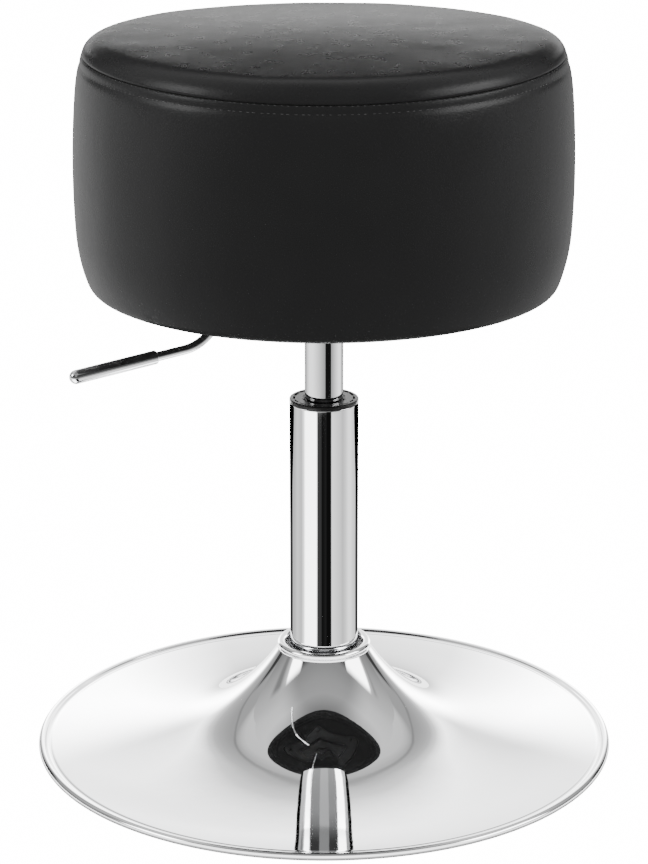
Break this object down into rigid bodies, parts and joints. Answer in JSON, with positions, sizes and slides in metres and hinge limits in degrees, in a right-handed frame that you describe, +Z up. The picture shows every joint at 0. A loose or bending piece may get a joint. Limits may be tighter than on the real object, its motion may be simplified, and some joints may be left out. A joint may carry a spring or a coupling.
{
  "type": "adjustable stool",
  "caption": "Round drum-seated swivel stool on a chrome gas-lift column and trumpet base, raised and lowered by a side lever.",
  "frame": {"origin": "centre of the base on the floor, under the column", "axes": "+Z up along the column, -Y towards the front view, the lever at the left and a little forward when seen from the front"},
  "size_m": [0.426, 0.426, 0.5322],
  "materials": {
    "chrome": "polished",
    "dark_steel": "satin",
    "bare_steel": "satin",
    "black_paint": "satin",
    "black_plastic": "satin",
    "rubber": "matte",
    "leather": "satin",
    "foam": "matte",
    "plywood": "matte",
    "dust_cloth": "matte"
  },
  "bodies": {
    "base": {"base_shell": "chrome", "base_socket": "dark_steel", "socket_plate": "dark_steel", "floor_ring": "rubber", "column_tube": "chrome", "guide_bush": "black_plastic", "column_end_plate": "bare_steel", "lower_thrust_washer": "bare_steel"},
    "rod": {"upper_thrust_washer": "bare_steel", "thrust_cage": "bare_steel", "thrust_balls": "bare_steel", "rod_washer": "bare_steel", "rod_clip": "bare_steel", "piston_rod": "chrome", "buffer_ring": "rubber", "piston": "bare_steel", "piston_seal": "rubber", "piston_nut": "bare_steel"},
    "seat": {"gas_cylinder": "chrome", "cylinder_end_guide": "black_plastic", "rod_seal": "rubber", "valve_body": "bare_steel", "seat_plate": "black_paint", "cone_socket": "black_paint", "lever_bush": "black_plastic", "plate_bolts": "bare_steel", "plate_washers": "bare_steel", "tee_nuts": "bare_steel", "bottom_board": "plywood", "drum_wall": "plywood", "top_board": "plywood", "side_foam": "foam", "top_foam": "foam", "cover_band": "leather", "cover_top": "leather", "dust_cover": "dust_cloth", "staples": "bare_steel"},
    "lever": {"lever_rod": "chrome", "lever_grip": "chrome"},
    "release": {"release_pin": "bare_steel"}
  },
  "joints": [
    {"name": "swivel", "type": "hinge", "parent": "base", "child": "rod", "pos_m": [0, 0, 0.03], "axis": [0, 0, 1], "continuous": true},
    {"name": "lift", "type": "slide", "parent": "rod", "child": "seat", "axis": [0, 0, 1], "range_m": [-0.045, 0.075]},
    {"name": "lever_lift", "type": "hinge", "parent": "seat", "child": "lever", "pos_m": [-0.0407, -0.0235, 0.34481], "axis": [-0.5, 0.866, 0], "range_deg": [0, 4.5], "stiffness_Nm_per_rad": 6, "springref_deg": -2.86},
    {"name": "release_press", "type": "slide", "parent": "seat", "child": "release", "axis": [0, 0, -1], "range_m": [0, 0.0035]}
  ],
  "couplings": [
    {"joint": "release_press", "follows": "lever_lift", "m_per_rad": 0.0433}
  ]
}
